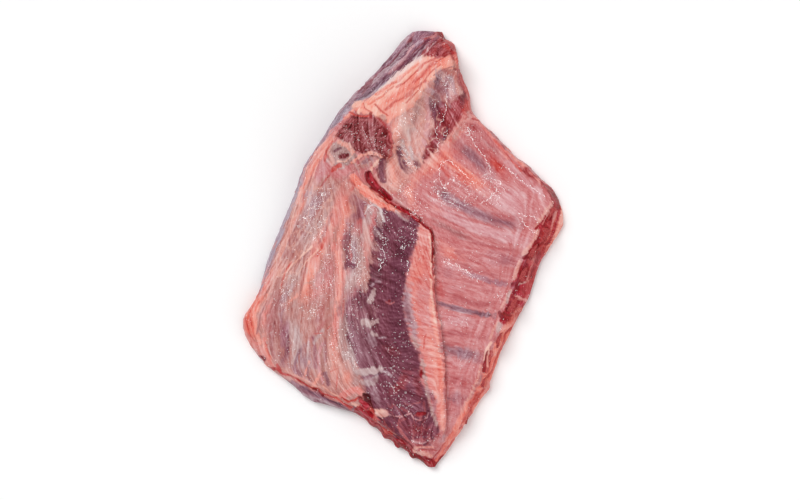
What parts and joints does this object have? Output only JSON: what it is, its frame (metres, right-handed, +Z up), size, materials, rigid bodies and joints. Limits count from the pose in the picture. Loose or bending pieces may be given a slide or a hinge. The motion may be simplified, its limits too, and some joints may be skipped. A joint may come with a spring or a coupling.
{
  "type": "frozen lamb ribs",
  "caption": "Frozen lamb breast with its flap, lying inner side up, with ridged rib panel, folded flap muscle, brisket fat and sawn rib bones along one edge.",
  "frame": {"origin": "middle of the bounding box, on the flat underside that the piece rests on", "axes": "+X towards the sawn rib edge, +Y towards the neck end, +Z up through the inner side that faces the camera"},
  "size_m": [0.2585, 0.351, 0.0466],
  "materials": {
    "lamb_meat": "wet frozen meat, fat and membrane, semi-gloss",
    "rib_bone": "sawn bone and cartilage, matt"
  },
  "bodies": {
    "root": {"breast_and_flap": "lamb_meat", "rib_bone_1": "rib_bone", "rib_bone_2": "rib_bone", "rib_bone_3": "rib_bone", "rib_bone_4": "rib_bone", "rib_bone_5": "rib_bone", "rib_bone_6": "rib_bone", "rib_bone_7": "rib_bone", "rib_bone_8": "rib_bone"}
  },
  "joints": []
}
